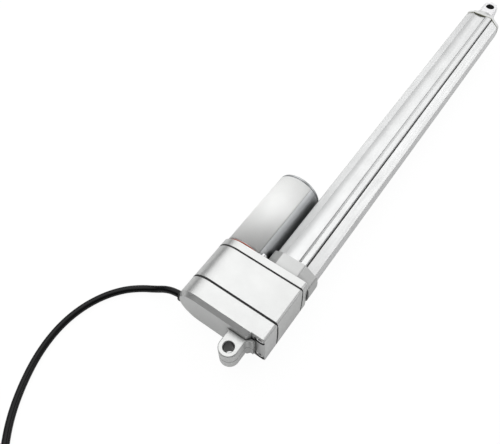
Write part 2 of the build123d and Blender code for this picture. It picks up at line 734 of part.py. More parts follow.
def motor_bushes():
    x_near = x_can + MOTOR_FRONT_WALL
    x_far = x_motor_end - MOTOR_CAP_DEPTH / 2
    bore = MOTOR_SHAFT + 2 * RUNNING
    return [
        sleeve(x_near - MOTOR_BUSH_LENGTH, x_near, MOTOR_BUSH, bore, motor_y),
        sleeve(x_motor_cap - MOTOR_CAP_SPIGOT, x_far, MOTOR_BUSH, bore, motor_y),
    ]


def motor_shaft():
    x_rear = x_wheel - PINION_OVERHANG
    return rod(x_rear, x_motor_end - MOTOR_CAP_DEPTH / 2 - GEAR_SIDE, MOTOR_SHAFT, motor_y)


def armature():
    """Laminated core with slots and the wound coils past its ends."""
    core = rod(x_armature, x_armature + ARMATURE_LENGTH, armature_diameter, motor_y)
    for k in range(ARMATURE_SLOTS):
        slot = block(
            (x_armature, x_armature + ARMATURE_LENGTH),
            (-ARMATURE_SLOT_WIDTH / 2, ARMATURE_SLOT_WIDTH / 2),
            (armature_diameter / 2 - ARMATURE_SLOT_DEPTH, armature_diameter / 2),
        )
        core -= Pos(0, motor_y, 0) * Rot(360 * k / ARMATURE_SLOTS, 0, 0) * slot
    coil_diameter = armature_diameter - 2 * END_COIL
    core += rod(x_armature - END_COIL, x_armature, coil_diameter, motor_y)
    core += rod(x_armature + ARMATURE_LENGTH, x_commutator, coil_diameter, motor_y)
    return core - rod(x_armature - END_COIL, x_commutator, MOTOR_SHAFT + 2 * SEAT, motor_y)


def commutator():
    return sleeve(
        x_commutator, x_commutator + COMMUTATOR_LENGTH, COMMUTATOR_DIAMETER, MOTOR_SHAFT + 2 * SEAT, motor_y
    )


def motor_magnets():
    """Two curved magnets glued inside the can."""
    inside = MOTOR_DIAMETER - 2 * MOTOR_CAN_WALL - 2 * SEAT
    shell = sleeve(
        x_armature, x_armature + ARMATURE_LENGTH, inside, armature_diameter + 2 * MAGNET_GAP, motor_y
    )
    spread = inside * tan(radians((180 - MAGNET_ARC) / 2)) / 2
    x_span = (x_armature, x_armature + ARMATURE_LENGTH)
    keep = []
    for sign in (1, -1):
        side = block(x_span, (motor_y - inside, motor_y + inside), (spread, inside))
        keep.append(shell & (side if sign > 0 else side.mirror(Plane.XY)))
    return keep


def motor_brushes():
    """Two carbon brushes that ride on the commutator."""
    middle = x_commutator + COMMUTATOR_LENGTH / 2
    inner = COMMUTATOR_DIAMETER / 2 + RUNNING
    out = []
    for sign in (1, -1):
        span = sorted((motor_y + sign * inner, motor_y + sign * (inner + BRUSH_LENGTH)))
        brush = block(
            (middle - BRUSH_WIDTH / 2, x_brush_plate), span, (-BRUSH_WIDTH / 2, BRUSH_WIDTH / 2)
        )
        out.append(brush - rod(middle - BRUSH_WIDTH, x_brush_plate, 2 * inner, motor_y))
    return out


def brush_plate():
    inside = MOTOR_DIAMETER - 2 * MOTOR_CAN_WALL - 2 * SEAT
    return sleeve(x_brush_plate, x_brush_plate + BRUSH_PLATE, inside, BRUSH_PLATE_BORE, motor_y)


def profile_tube():
    """The extrusion: outer channels, round bore, switch pocket and four screw ports."""
    section = tube_outline(channelled=True)
    for sign in (1, -1):
        place = Pos(TUBE_FAR_SHOULDER_Y, sign * TUBE_FAR_SHOULDER_Z)
        section -= place * Rectangle(GROOVE_WIDTH, 2 * GROOVE_DEPTH)
    section -= Circle(TUBE_BORE / 2)
    pocket_width = -POCKET_FAR_Y
    section -= Pos(POCKET_FAR_Y / 2, 0) * Rectangle(pocket_width, 2 * POCKET_HALF_HEIGHT)
    section -= [Pos(*spot) * Circle(PORT_DIAMETER / 2) for spot in port_spots()]
    return layer(section, x_face, x_tube_front)


def switch_board():
    return block(
        (x_face + BOARD_END_GAP, x_tube_front),
        (POCKET_FAR_Y, POCKET_FAR_Y + SWITCH_BOARD_THICKNESS),
        (-POCKET_HALF_HEIGHT + SEAT, POCKET_HALF_HEIGHT - SEAT),
    )


def limit_switches():
    """One switch at each end of the nut's travel."""
    length, depth, height = SWITCH_SIZE
    y_span = (POCKET_FAR_Y + SWITCH_BOARD_THICKNESS, POCKET_FAR_Y + SWITCH_BOARD_THICKNESS + depth)
    z_span = (-height - SWITCH_BELOW_MIDDLE, -SWITCH_BELOW_MIDDLE)
    starts = (x_face + BOARD_END_GAP, x_nut + STROKE + NUT_LENGTH - length)
    return [block((x, x + length), y_span, z_span) for x in starts]


def drive_nut():
    """Runs on the screw. Its key slides in the switch pocket and stops it from turning."""
    nut = rod(x_nut, x_nut + NUT_LENGTH, TUBE_BORE - 2 * RUNNING)
    key_y = POCKET_FAR_Y + SWITCH_BOARD_THICKNESS + GEAR_SIDE
    nut += block(
        (x_nut, x_nut + NUT_LENGTH), (key_y, -SCREW_DIAMETER / 2),
        (GEAR_SIDE, POCKET_HALF_HEIGHT - GEAR_SIDE),
    )
    nut -= rod(x_nut, x_nut + NUT_LENGTH, SCREW_DIAMETER + 2 * RUNNING)
    return nut - rod(x_nut + NUT_LENGTH - NUT_SOCKET_DEPTH, x_nut + NUT_LENGTH, ROD_DIAMETER + 2 * SEAT)


def rod_pin_x():
    return x_rod_end - ROD_PIN_FROM_END


def inner_rod():
    """The tube that slides out, pinned to its eye."""
    bar = sleeve(x_nut + NUT_LENGTH - NUT_SOCKET_DEPTH, x_rod_end, ROD_DIAMETER, ROD_DIAMETER - 2 * ROD_WALL)
    return bar - Pos(rod_pin_x(), 0, 0) * Cylinder(ROD_PIN_DIAMETER / 2 + SEAT, 2 * ROD_DIAMETER)


def rod_eye():
    """Flattened round bar with a cross hole, a shoulder and a plug inside the rod."""
    half = EYE_WIDTH / 2
    flat = block((x_rod_end, x_front_eye), (-half, half), (-FRONT_EYE_HEIGHT / 2, FRONT_EYE_HEIGHT / 2))
    flat += Pos(x_front_eye, 0, 0) * Cylinder(half, FRONT_EYE_HEIGHT)
    eye = flat & rod(x_rod_end, x_front_eye + half, ROD_DIAMETER)
    eye += rod(x_rod_end, x_rod_end + EYE_SHOULDER, ROD_DIAMETER)
    eye -= Pos(x_front_eye, 0, 0) * Cylinder(EYE_BORE / 2, FRONT_EYE_HEIGHT)
    rims = eye.edges().filter_by(GeomType.CIRCLE).filter_by(
        lambda e: abs(e.radius - EYE_BORE / 2) < SEAT
    )
    eye = chamfer(rims, EYE_CHAMFER)
    eye += rod(x_rod_end - EYE_PLUG_LENGTH, x_rod_end, ROD_DIAMETER - 2 * ROD_WALL - 2 * SEAT)
    return eye - Pos(rod_pin_x(), 0, 0) * Cylinder(ROD_PIN_DIAMETER / 2 + SEAT, 2 * ROD_DIAMETER)


def rod_pin():
    """Cross pin through rod and eye, cut to the rod's round."""
    pin = Pos(rod_pin_x(), 0, 0) * Cylinder(ROD_PIN_DIAMETER / 2, 2 * ROD_DIAMETER)
    return pin & rod(rod_pin_x() - ROD_PIN_DIAMETER, rod_pin_x() + ROD_PIN_DIAMETER, ROD_DIAMETER)


def guide_bush():
    return sleeve(x_bush, x_tube_front, TUBE_BORE - 2 * SEAT, ROD_DIAMETER + 2 * RUNNING)


def cap_gasket():
    sheet = layer(tube_outline(), x_tube_front, x_cap)
    sheet -= rod(x_tube_front, x_cap, TUBE_BORE)
    return sheet - [rod(x_tube_front, x_cap, PORT_DIAMETER, *spot) for spot in port_spots()]


def front_cap():
    plate = layer(tube_outline(), x_cap, x_boss)
    rim = plate.faces().sort_by(Axis.X)[-1].edges()
    plate = chamfer(rim, CAP_EDGE)
    boss = rod(x_boss, x_boss_front, CAP_BOSS_DIAMETER)
    cap = plate + boss
    cap -= rod(x_cap, x_boss_front, ROD_DIAMETER + 2 * SHAFT_HOLE)
    cap -= rod(x_boss_front - WIPER_DEPTH, x_boss_front, WIPER_DIAMETER + 2 * SEAT)
    for spot in port_spots():
        cap -= rod(x_cap, x_boss, PORT_DIAMETER, *spot)
        cap -= rod(x_boss - CAP_HEAD_HEIGHT, x_boss, CAP_HEAD + 2 * SEAT, *spot)
        cap -= rod(x_boss, x_boss_front, CAP_HEAD + 2 * SHAFT_HOLE, *spot)
    return cap


def cap_screws():
    x_tip = x_boss - CAP_SCREW_LENGTH
    return [
        cap_screw(x_boss, CAP_HEAD, CAP_HEAD_HEIGHT, CAP_SCREW, x_tip, CAP_KEY, spot)
        for spot in port_spots()
    ]


def wiper_seal():
    """Lipped ring that wipes the rod where it leaves the cap."""
    x_start = x_boss_front - WIPER_DEPTH
    x_end = x_boss_front + WIPER_STAND
    ring = rod(x_start, x_boss_front, WIPER_DIAMETER)
    ring += Pos(x_boss_front, 0, 0) * Rot(0, 90, 0) * Cone(
        WIPER_DIAMETER / 2, ROD_DIAMETER / 2 + WIPER_STAND, WIPER_STAND,
        align=(Align.CENTER, Align.CENTER, Align.MIN),
    )
    return ring - rod(x_start, x_end, ROD_DIAMETER + 2 * RUNNING)


def cable_grommet():
    """Rubber grommet in the round end, flanged outside."""
    seat = cable_exit() * Pos(0, 0, -GROMMET_SEAT)
    flange = seat * Cylinder(
        GROMMET_FLANGE / 2, GROMMET_THICKNESS, align=(Align.CENTER, Align.CENTER, Align.MIN)
    )
    return flange + seat * Cylinder(
        GROMMET_NECK / 2, COVER_WALL, align=(Align.CENTER, Align.CENTER, Align.MAX)
    )


def cable_path():
    """Straight runs joined by arcs as large as the runs allow."""
    way_out = GROMMET_THICKNESS - GROMMET_SEAT
    first = [(cable_exit() * Pos(0, 0, way_out + along)).position for along in (0, CABLE_STRAIGHT)]
    points = first + [Vector(*p) for p in CABLE_ROUTE]
    runs = [(b - a).length for a, b in zip(points, points[1:])]
    radii = []
    for before, here, after, near, far in zip(points, points[1:], points[2:], runs, runs[1:]):
        turn = (here - before).get_angle(after - here)
        radii.append(0.45 * min(near, far) / tan(radians(turn / 2)))
    print("cable runs", [round(r, 1) for r in runs])
    print("cable arc radii", [round(r, 1) for r in radii])
    return FilletPolyline(*points, radius=radii)


def cable():
    path = cable_path()
    start = Plane(origin=path @ 0, z_dir=path % 0)
    tube = sweep(start * Circle(CABLE_DIAMETER / 2), path=path)
    ideal = pi * CABLE_DIAMETER**2 / 4 * path.length
    print("cable length", round(path.length, 1), "volume over its ideal", round(tube.volume / ideal, 5))
    return tube


def coil_place():
    """The coil's centre: the cable runs into its outer turn as a tangent, turning left."""
    before, end = (Vector(*p) for p in CABLE_ROUTE[-2:])
    heading = (end - before).normalized()
    return end + heading * COIL_ENTRY + Vector(-heading.Y, heading.X, 0) * outer_turn, heading


def cable_coil():
    """Outer shape of the coiled cable, two turns wide and two high."""
    centre, heading = coil_place()
    section = Pos(COIL_ACROSS / 2, 0) * RectangleRounded(
        2 * CABLE_DIAMETER, 2 * CABLE_DIAMETER, COIL_EDGE_RADIUS
    )
    ring = revolve(Plane.XZ * section, axis=Axis.Z)
    return Pos(centre.X, centre.Y, -body_half + CABLE_DIAMETER) * ring


def tail_line():
    """Where the last turn's tangent has left the coil's side, and its direction."""
    centre, heading = coil_place()
    spoke = Vector(heading.Y, -heading.X, 0).rotate(Axis.Z, 360 * COIL_TURNS)
    direction = Vector(-spoke.Y, spoke.X, 0)
    return centre + spoke * outer_turn + direction * TAIL_ENTRY, direction


def cable_tail():
    start, direction = tail_line()
    return extrude(Plane(origin=start, z_dir=direction) * Circle(CABLE_DIAMETER / 2), amount=TAIL_LENGTH)


def lead_spots():
    """Start and direction of each of the two cores that come out of the sheath."""
    start, direction = tail_line()
    end = start + direction * TAIL_LENGTH
    side = Vector(-direction.Y, direction.X, 0) * LEAD_SPREAD
    end.Z = LEAD_ABOVE_FLOOR + LEAD_DIAMETER / 2 - body_half
    return [(end + side, direction), (end - side, direction)]


def lead_cores():
    return [
        extrude(Plane(origin=start, z_dir=direction) * Circle(LEAD_DIAMETER / 2), amount=LEAD_LENGTH)
        for start, direction in lead_spots()
    ]


def lead_ferrules():
    """Crimped wire ends: an insulating sleeve and a bare pin on each core."""
    ends = []
    for start, direction in lead_spots():
        tip = start + direction * LEAD_LENGTH
        sleeve_part = extrude(
            Plane(origin=tip, z_dir=direction) * Circle(FERRULE_SLEEVE / 2), amount=FERRULE_SLEEVE_LENGTH
        )
        pin_part = extrude(
            Plane(origin=tip + direction * FERRULE_SLEEVE_LENGTH, z_dir=direction) * Circle(FERRULE_PIN / 2),
            amount=FERRULE_PIN_LENGTH,
        )
        ends.append(sleeve_part + pin_part)
    return ends


# Everything is written out under the name of its piece
def main():
    os.makedirs("parts", exist_ok=True)
    pieces = {
        "rear_cover": rear_cover(),
        "rear_gasket": gasket(x_cover_front),
        "gear_housing": gear_housing(),
        "front_gasket": gasket(x_housing_front),
        "front_plate": front_plate(),
        "case_screws": case_screws(),
        "side_screws": side_screws(),
        "motor_can": motor_can(),
        "motor_end_cap": motor_end_cap(),
        "motor_seal_ring": motor_seal_ring(),
        "motor_screws": motor_screws(),
        "motor_bushes": motor_bushes(),
        "motor_magnets": motor_magnets(),
        "motor_brushes": motor_brushes(),
        "brush_plate": brush_plate(),
        "motor_shaft": motor_shaft(),
        "armature": armature(),
        "commutator": commutator(),
        "motor_pinion": motor_pinion(),
        "idler_gear": idler_gear(),
        "idler_axle": idler_axle(),
        "idler_spacers": idler_spacers(),
        "screw_gear": screw_gear(),
        "gear_key": gear_key(),
        "gear_clip": gear_clip(),
        "lead_screw": lead_screw(),
        "screw_bush": screw_bush(),
        "bearing_outer_ring": bearing_outer_ring(),
        "bearing_inner_ring": bearing_inner_ring(),
        "bearing_balls": bearing_balls(),
        "screw_collar": screw_collar(),
        "screw_guide_ring": screw_guide_ring(),
        "drive_nut": drive_nut(),
        "inner_rod": inner_rod(),
        "rod_eye": rod_eye(),
        "rod_pin": rod_pin(),
        "profile_tube": profile_tube(),
        "switch_board": switch_board(),
        "limit_switches": limit_switches(),
        "guide_bush": guide_bush(),
        "cap_gasket": cap_gasket(),
        "front_cap": front_cap(),
        "cap_screws": cap_screws(),
        "wiper_seal": wiper_seal(),
        "cable_grommet": cable_grommet(),
        "cable": cable(),
        "cable_coil": cable_coil(),
        "cable_tail": cable_tail(),
        "lead_cores": lead_cores(),
        "lead_ferrules": lead_ferrules(),
    }
    for name, piece in pieces.items():
        shape = Compound(children=list(piece)) if isinstance(piece, list) else piece
        export_step(shape, f"parts/{name}.step")


main()
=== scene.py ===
from math import atan2, cos, exp, pi, radians, sin

import bmesh
import bpy
from mathutils import Matrix, Vector


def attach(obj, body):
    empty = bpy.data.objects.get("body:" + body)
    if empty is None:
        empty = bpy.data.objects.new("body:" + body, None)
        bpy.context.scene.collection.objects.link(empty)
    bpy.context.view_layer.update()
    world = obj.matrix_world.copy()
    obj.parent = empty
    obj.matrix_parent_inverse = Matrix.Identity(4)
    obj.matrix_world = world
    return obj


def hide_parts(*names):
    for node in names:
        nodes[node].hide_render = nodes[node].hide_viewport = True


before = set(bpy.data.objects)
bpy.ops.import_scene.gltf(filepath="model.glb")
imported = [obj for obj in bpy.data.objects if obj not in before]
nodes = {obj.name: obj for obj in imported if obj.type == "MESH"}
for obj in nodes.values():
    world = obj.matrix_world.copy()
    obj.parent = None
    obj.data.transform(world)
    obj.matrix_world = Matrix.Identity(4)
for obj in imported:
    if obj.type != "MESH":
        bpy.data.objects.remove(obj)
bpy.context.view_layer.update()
scene = bpy.context.scene
scene.view_settings.view_transform = "Standard"

# The photograph's camera stands above and behind the rear eye and looks along the stroke.
# Its optical axis meets the 500 by 444 picture within two pixels of the middle.
PICTURE_WIDTH = 500
FOCAL_PIXELS = 558.15
camera_data = bpy.data.cameras.new("camera")
camera_data.sensor_width = 36.0
camera_data.lens = 36.0 * FOCAL_PIXELS / PICTURE_WIDTH
camera_data.shift_x = -0.0027
camera_data.shift_y = -0.0017
camera_data.clip_start = 0.01
camera = bpy.data.objects.new("camera", camera_data)
camera.location = (-0.098273, -0.096071, 0.372586)
camera.rotation_euler = (radians(33.2089), radians(0.8352), radians(-54.3473))
scene.collection.objects.link(camera)
scene.camera = camera

# The cable is a round two-core lead in a glossy black sheath, as it is sold by the metre.
# It leaves the rounded end, lies in one loose bend, and its spare length is coiled on the table.
MM = 0.001
CABLE = 5.5
GROMMET_FACE = 19.95
ROUND_END = (15.5, 36.85)
EXIT_ANGLE = radians(12.5)
STRAIGHT = 6.6
ROUTE = [
    (ROUND_END[0], ROUND_END[1] + reach * cos(EXIT_ANGLE), -reach * sin(EXIT_ANGLE))
    for reach in (GROMMET_FACE, GROMMET_FACE + STRAIGHT)
]
ROUTE += [
    (14.0, 71.1, -8.7),
    (10.8, 79.8, -13.8),
    (5.6, 90.4, -16.0),
    (-3.5, 100.9, -16.0),
    (-17.1, 110.3, -16.0),
    (-34.9, 117.0, -16.0),
    (-54.8, 119.2, -16.0),
    (-76.6, 116.3, -16.0),
    (-97.4, 109.1, -16.0),
    (-117.1, 99.2, -16.0),
    (-133.9, 86.6, -16.0),
    (-147.0, 73.0, -16.0),
    (-156.8, 59.0, -16.0),
]
COIL_ACROSS = 66.0
COIL_TURNS = 3.33
COIL_ENTRY = 14.0
COIL_FLAT = 5.0
COIL_FLAT_AT = 0.69
COIL_FLAT_SPREAD = 0.18
POINTS_PER_TURN = 16
# Where the cable moves inside its first turn, climbs onto the layer below and comes out again.
# Each pair is a start and an end, counted in turns from the coil's beginning.
TURN_INWARD = (0.65, 1.0)
TURN_UP = (1.65, 2.0)
TURN_OUTWARD = (2.65, 3.0)
SHEATH_TAIL = 32.0
# The tail comes down from the upper layer: distances along it, and its height there in cable widths.
TAIL_DROP = [(4, 1.0), (11, 0.95), (18, 0.55), (25, 0.05), (SHEATH_TAIL, 0.0)]


def glide(value, start, end):
    """0 before start, 1 after end, and a smooth rise between."""
    part = min(1.0, max(0.0, (value - start) / (end - start)))
    return part * part * (3 - 2 * part)


heading = (Vector(ROUTE[-1]) - Vector(ROUTE[-2])).normalized()
left = Vector((-heading.y, heading.x, 0))
outer_turn = (COIL_ACROSS + CABLE) / 2
coil_centre = Vector(ROUTE[-1]) + heading * COIL_ENTRY + left * outer_turn
first_angle = atan2(-left.y, -left.x)
corner_reach = 1 / cos(pi / POINTS_PER_TURN)

cable_points = [Vector(point) for point in ROUTE]
for step in range(1, int(COIL_TURNS * POINTS_PER_TURN) + 1):
    turns = (step - 0.5) / POINTS_PER_TURN
    inward = glide(turns, *TURN_INWARD) - glide(turns, *TURN_OUTWARD)
    flattened = COIL_FLAT * exp(-(((turns % 1 - COIL_FLAT_AT) / COIL_FLAT_SPREAD) ** 2))
    reach = (outer_turn - CABLE * inward - flattened) * corner_reach
    angle = first_angle + 2 * pi * turns
    height = CABLE * glide(turns, *TURN_UP)
    cable_points.append(coil_centre + Vector((reach * cos(angle), reach * sin(angle), height)))

last_angle = first_angle + 2 * pi * COIL_TURNS
spoke = Vector((cos(last_angle), sin(last_angle), 0))
tail_way = Vector((-spoke.y, spoke.x, 0))
tail_start = coil_centre + spoke * outer_turn
for along, lift in TAIL_DROP:
    cable_points.append(tail_start + tail_way * along + Vector((0, 0, CABLE * lift)))

cable_curve = bpy.data.curves.new("cable_line", "CURVE")
cable_curve.dimensions = "3D"
cable_curve.bevel_depth = CABLE / 2 * MM
cable_curve.bevel_resolution = 8
cable_curve.resolution_u = 8
cable_curve.use_fill_caps = True
line = cable_curve.splines.new("NURBS")
line.points.add(len(cable_points) - 1)
for point, place in zip(line.points, cable_points):
    point.co = (*(place * MM), 1)
line.order_u = 3
line.use_endpoint_u = True
cable = bpy.data.objects.new("cable_run", cable_curve)
scene.collection.objects.link(cable)


def node_material(name):
    """An empty node material with its shader, and the object's own coordinates."""
    material = bpy.data.materials.new(name)
    material.use_nodes = True
    tree = material.node_tree
    place = tree.nodes.new("ShaderNodeTexCoord").outputs["Object"]
    return material, tree, tree.nodes["Principled BSDF"], place


def stretched(tree, place, along):
    """Coordinates pulled long on some axes, so that noise on them runs as drawn or turned lines."""
    mapping = tree.nodes.new("ShaderNodeMapping")
    mapping.inputs["Scale"].default_value = along
    tree.links.new(place, mapping.inputs["Vector"])
    return mapping.outputs["Vector"]


def speckle(tree, place, size, detail=3.0, rough=0.55):
    """Noise whose grain is about the given size in millimetres."""
    noise = tree.nodes.new("ShaderNodeTexNoise")
    noise.inputs["Scale"].default_value = 1 / (size * MM)
    noise.inputs["Detail"].default_value = detail
    noise.inputs["Roughness"].default_value = rough
    tree.links.new(place, noise.inputs["Vector"])
    return noise.outputs["Fac"]


def ramp(tree, value, stops):
    """Colours along a value."""
    node = tree.nodes.new("ShaderNodeValToRGB")
    while len(node.color_ramp.elements) < len(stops):
        node.color_ramp.elements.new(0.5)
    for element, (position, colour) in zip(node.color_ramp.elements, stops):
        element.position = position
        element.color = (*colour, 1)
    tree.links.new(value, node.inputs["Fac"])
    return node.outputs["Color"]


def spread(tree, value, low, high, start=0.35, end=0.65):
    """A number that follows a value between two levels."""
    node = tree.nodes.new("ShaderNodeMapRange")
    node.inputs["From Min"].default_value = start
    node.inputs["From Max"].default_value = end
    node.inputs["To Min"].default_value = low
    node.inputs["To Max"].default_value = high
    tree.links.new(value, node.inputs["Value"])
    return node.outputs["Result"]


def calculate(tree, operation, first, second):
    """One step of arithmetic on two values."""
    node = tree.nodes.new("ShaderNodeMath")
    node.operation = operation
    for socket, value in zip(node.inputs, (first, second)):
        if isinstance(value, (int, float)):
            socket.default_value = value
        else:
            tree.links.new(value, socket)
    return node.outputs[0]


def dimmed(tree, colour, level):
    """A colour times a level."""
    node = tree.nodes.new("ShaderNodeVectorMath")
    node.operation = "SCALE"
    tree.links.new(colour, node.inputs["Vector"])
    tree.links.new(level, node.inputs["Scale"])
    return node.outputs["Vector"]


def painted_crevice_shade(tree, colour, reach=5.0, power=1.0):
    """The colour, darker in corners and narrow gaps: painted shade where light is shut out."""
    least = 0.3
    node = tree.nodes.new("ShaderNodeAmbientOcclusion")
    node.samples = 12
    node.inputs["Distance"].default_value = reach * MM
    shut_in = calculate(tree, "POWER", node.outputs["AO"], power)
    return dimmed(tree, colour, calculate(tree, "MAXIMUM", shut_in, least))


def relief(tree, height, depth, shader, strength=0.5):
    """Bump of a depth in millimetres, on top of any relief that is there already."""
    bump = tree.nodes.new("ShaderNodeBump")
    bump.inputs["Strength"].default_value = strength
    bump.inputs["Distance"].default_value = depth * MM
    tree.links.new(height, bump.inputs["Height"])
    for link in shader.inputs["Normal"].links:
        tree.links.new(link.from_socket, bump.inputs["Normal"])
    tree.links.new(bump.outputs["Normal"], shader.inputs["Normal"])


def shades(colour, change):
    """A darker and a lighter shade of one colour."""
    return [tuple(min(1.0, c * (1 + sign * change)) for c in colour) for sign in (-1, 1)]


def moulded(name, colour, roughness, grain=0.4, depth=0.02):
    """Rubber or plastic: fine grain, faint cloudiness and uneven shine."""
    material, tree, shader, place = node_material(name)
    dark, light = shades(colour, 0.12)
    cloud = speckle(tree, place, 6.0)
    fine = speckle(tree, place, grain)
    tree.links.new(ramp(tree, cloud, [(0.3, dark), (0.7, light)]), shader.inputs["Base Color"])
    tree.links.new(spread(tree, fine, roughness - 0.05, roughness + 0.07), shader.inputs["Roughness"])
    relief(tree, fine, depth, shader)
    return material


def dress(material, *names):
    """Gives CAD nodes their finish."""
    for name in names:
        slots = nodes[name].data.materials
        slots.clear()
        slots.append(material)


sheath = moulded("black_sheath", (0.003, 0.003, 0.0035), 0.26, grain=2.0, depth=0.004)
sheath.node_tree.nodes["Principled BSDF"].inputs["Specular IOR Level"].default_value = 0.22
cable_curve.materials.append(sheath)
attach(cable, "frame")
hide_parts("cable", "cable_coil", "cable_tail")

# Two insulated cores come out of the stripped end, one red and one black.
# Each carries a crimped ferrule: a coloured collar and a tinned sleeve.
CORE_LENGTH = 22.0
COLLAR_LENGTH = 5.0
core_side = Vector((-tail_way.y, tail_way.x, 0))
core_origin = tail_start + tail_way * SHEATH_TAIL


def split_by_side(name, first, second, way, origin, roughness):
    """One finish for two pieces that lie beside each other: a plane between them picks the colour."""
    material, tree, shader, place = node_material(name)
    shifted = tree.nodes.new("ShaderNodeVectorMath")
    shifted.operation = "SUBTRACT"
    shifted.inputs[1].default_value = origin * MM
    side = tree.nodes.new("ShaderNodeVectorMath")
    side.operation = "DOT_PRODUCT"
    side.inputs[1].default_value = way
    tree.links.new(place, shifted.inputs[0])
    tree.links.new(shifted.outputs["Vector"], side.inputs[0])
    step = spread(tree, side.outputs["Value"], 0.0, 1.0, -0.0001, 0.0001)
    colour = ramp(tree, step, [(0.45, first), (0.55, second)])
    tree.links.new(colour, shader.inputs["Base Color"])
    fine = speckle(tree, place, 0.5)
    tree.links.new(spread(tree, fine, roughness - 0.05, roughness + 0.07), shader.inputs["Roughness"])
    relief(tree, fine, 0.01, shader)
    return material


core_finish = split_by_side(
    "core_colours", (0.02, 0.02, 0.02), (0.5, 0.03, 0.02), core_side, core_origin, 0.35
)
dress(core_finish, "lead_cores")
collar_end = core_origin + tail_way * CORE_LENGTH + tail_way * COLLAR_LENGTH
ferrule_finish = split_by_side(
    "ferrule_tin", (0.75, 0.73, 0.70), (0.62, 0.62, 0.64), tail_way, collar_end, 0.32
)
dress(ferrule_finish, "lead_ferrules")

# The gearbox is three pressure die-cast aluminium layers with a fine satin surface.
# The castings are blasted and lacquered light grey, and long screws pull them together.
# The front cap at the tube's far end is cast and finished alike.


def past(tree, place, station, level):
    """Falls from 1 to a level past a station along the stroke."""
    split = tree.nodes.new("ShaderNodeSeparateXYZ")
    tree.links.new(place, split.inputs["Vector"])
    return spread(tree, split.outputs["X"], 1.0, level, (station - 0.1) * MM, (station + 0.1) * MM)


def inside_bore(tree, place, centre, across, radius, level):
    """Falls from 1 to a level inside a bore, whose length lies where across is 0."""
    offset = tree.nodes.new("ShaderNodeVectorMath")
    offset.operation = "SUBTRACT"
    offset.inputs[1].default_value = Vector(centre) * MM
    tree.links.new(place, offset.inputs[0])
    flat = tree.nodes.new("ShaderNodeVectorMath")
    flat.operation = "MULTIPLY"
    flat.inputs[1].default_value = across
    tree.links.new(offset.outputs["Vector"], flat.inputs[0])
    length = tree.nodes.new("ShaderNodeVectorMath")
    length.operation = "LENGTH"
    tree.links.new(flat.outputs["Vector"], length.inputs[0])
    return spread(tree, length.outputs["Value"], level, 1.0, radius * MM, (radius + 0.06) * MM)


CAST_GREY = (0.60, 0.605, 0.60)
CAST_ROUGHNESS = 0.38


def die_cast(name, *levels):
    """Cast and blasted metal, with painted shade in its corners and narrow gaps. Each level, a helper and
    its values, darkens one stretch of it.
    """
    material, tree, shader, place = node_material(name)
    dark, light = shades(CAST_GREY, 0.03)
    cloud = speckle(tree, place, 14.0, 2.0)
    grain = speckle(tree, place, 0.35, 4.0, 0.6)
    tone = ramp(tree, cloud, [(0.3, dark), (0.7, light)])
    for shade, *values in levels:
        tone = dimmed(tree, tone, shade(tree, place, *values))
    # Painted shade: the colour darkens in corners and gaps, broadly and again sharply at tight steps.
    tree.links.new(painted_crevice_shade(tree, painted_crevice_shade(tree, tone), 0.8, 2.5), shader.inputs["Base Color"])
    uneven = spread(tree, grain, CAST_ROUGHNESS - 0.05, CAST_ROUGHNESS + 0.05)
    tree.links.new(uneven, shader.inputs["Roughness"])
    relief(tree, grain, 0.02, shader, 0.35)
    shader.inputs["Metallic"].default_value = 0.85
    return material


box_finish = die_cast("box_casting")
dress(box_finish, "gear_housing", "front_cap")
# Painted shade darkens the eye's bore and the two screw wells, so they are darker than the casting.
EYE_RADIUS = 4.0
EYE_BORE_SHADE = (inside_bore, (0, 0, 0), (1, 1, 0), EYE_RADIUS, 0.16)
WELL_Y = -15.5
WELL_Z = 13.5
WELL_RADIUS = 4.35
WELL_SHADES = [(inside_bore, (0, WELL_Y, z), (0, 1, 1), WELL_RADIUS, 0.05) for z in (WELL_Z, -WELL_Z)]
cover_finish = die_cast("cover_casting", EYE_BORE_SHADE, *WELL_SHADES)
dress(cover_finish, "rear_cover")
# The plate is slightly darker past the start of its socket round the tube.
SOCKET_X = 67.2
plate_finish = die_cast("plate_casting", (past, SOCKET_X, 0.82))
dress(plate_finish, "front_plate")

# Thin black sheets seal the joints between the layers, and an olive grey one lies under the front cap.
# They are punched from rubbered paper, so their edges are dull and slightly rough.
gasket_finish = moulded("gasket_black", (0.012, 0.012, 0.012), 0.75, grain=0.25, depth=0.05)
dress(gasket_finish, "rear_gasket", "front_gasket")
paper_finish = moulded("gasket_paper", (0.22, 0.22, 0.16), 0.8, grain=0.25, depth=0.05)
dress(paper_finish, "cap_gasket")

# Squeezed between the castings, each sheet stands out a little as a thin black lip round the box.
# The lips follow the box's outline: a round end towards the motor, and a slightly bowed side opposite.
LIP_PROUD = 0.07
LIP_SUNK = 0.15
HALF_HEIGHT = 18.75
CORNER_Y = -20.1
SIDE_Y = -20.6
CORNER_RADIUS = 2.2
END_STEPS = 48
CORNER_STEPS = 8
SIDE_STEPS = 12


def arc(centre_y, centre_z, radius, start, end, steps):
    """Points in Y and Z on a circular arc between two angles in degrees."""
    angles = [radians(start + (end - start) * k / steps) for k in range(steps + 1)]
    return [(centre_y + radius * cos(angle), centre_z + radius * sin(angle)) for angle in angles]


def box_outline(grow):
    """Points round the box in Y and Z, from the bottom of the round end over its top to the flat side."""
    inner_y = CORNER_Y + CORNER_RADIUS
    inner_z = HALF_HEIGHT - CORNER_RADIUS
    bulge = CORNER_Y - SIDE_Y
    side = [
        (CORNER_Y - grow - bulge * (1 - (z / inner_z) ** 2), z)
        for z in (inner_z * (1 - 2 * k / SIDE_STEPS) for k in range(1, SIDE_STEPS))
    ]
    return (
        arc(ROUND_END[1], 0, HALF_HEIGHT + grow, -90, 90, END_STEPS)
        + arc(inner_y, inner_z, CORNER_RADIUS + grow, 90, 180, CORNER_STEPS)
        + side
        + arc(inner_y, -inner_z, CORNER_RADIUS + grow, 180, 270, CORNER_STEPS)
    )


